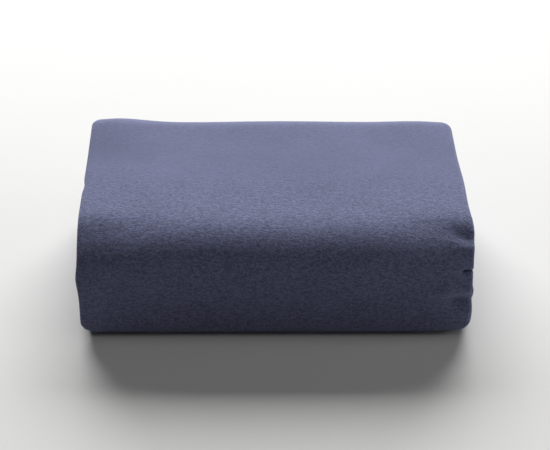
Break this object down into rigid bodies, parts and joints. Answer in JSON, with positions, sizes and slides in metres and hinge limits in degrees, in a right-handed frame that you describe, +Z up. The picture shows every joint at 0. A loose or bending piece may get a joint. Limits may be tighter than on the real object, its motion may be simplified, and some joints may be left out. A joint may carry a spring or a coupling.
{
  "type": "quick dry towel",
  "caption": "Travel towel of suede microfibre, folded into a compact block, with a snap-open hanging loop and a care label at one end.",
  "frame": {"origin": "the middle of the bottom of the object's box, on the surface that it lies on", "axes": "+X along the folded towel's width, to the side with the hanging loop; -Y towards the folded front; +Z up"},
  "size_m": [0.2, 0.153, 0.058],
  "materials": {
    "cloth": "brushed suede microfibre, matt",
    "thread": "overlock sewing thread, matt",
    "tape": "woven polyester tape",
    "press_stud": "satin nickel",
    "label": "blank satin ribbon"
  },
  "bodies": {
    "lower_half": {"panel_01": "cloth", "panel_08": "cloth", "panel_09": "cloth", "panel_12": "cloth", "panel_05": "cloth", "panel_04": "cloth", "fold_01_02": "cloth", "fold_07_08": "cloth", "fold_09_10": "cloth", "fold_11_12": "cloth", "fold_05_06": "cloth", "fold_03_04": "cloth", "fold_08_09": "cloth", "fold_04_05": "cloth", "end_hem_looped": "thread", "end_hem_plain": "thread"},
    "upper_half": {"panel_03": "cloth", "panel_06": "cloth", "panel_11": "cloth", "panel_10": "cloth", "panel_07": "cloth", "panel_02": "cloth", "fold_02_03": "cloth", "fold_06_07": "cloth", "fold_10_11": "cloth"},
    "hanging_loop": {"loop_tape_sewn": "tape", "loop_tape_bend": "tape", "loop_bar_tack": "thread", "snap_post": "press_stud", "snap_stud": "press_stud"},
    "loop_flap": {"loop_tape_free": "tape", "snap_socket": "press_stud", "snap_cap": "press_stud"},
    "label_flap": {"care_label": "label", "label_stitch": "thread"}
  },
  "joints": [
    {"name": "main_fold", "type": "hinge", "parent": "lower_half", "child": "upper_half", "pos_m": [0, -0.0615, 0.029], "axis": [1, 0, 0], "range_deg": [0, 179.5], "deforming": ["fold_01_02", "fold_07_08", "fold_09_10", "fold_11_12", "fold_05_06", "fold_03_04"]},
    {"name": "loop_swing", "type": "hinge", "parent": "lower_half", "child": "hanging_loop", "pos_m": [0.066, 0.03755, 0.0016], "axis": [1, 0, 0], "range_deg": [0, 50]},
    {"name": "loop_snap", "type": "hinge", "parent": "hanging_loop", "child": "loop_flap", "pos_m": [0.066, 0.07385, 0.00375], "axis": [-1, 0, 0], "range_deg": [0, 175], "deforming": ["loop_tape_bend"]},
    {"name": "label_swing", "type": "hinge", "parent": "lower_half", "child": "label_flap", "pos_m": [0.034, 0.03755, 0.002], "axis": [1, 0, 0], "range_deg": [0, 75]}
  ]
}
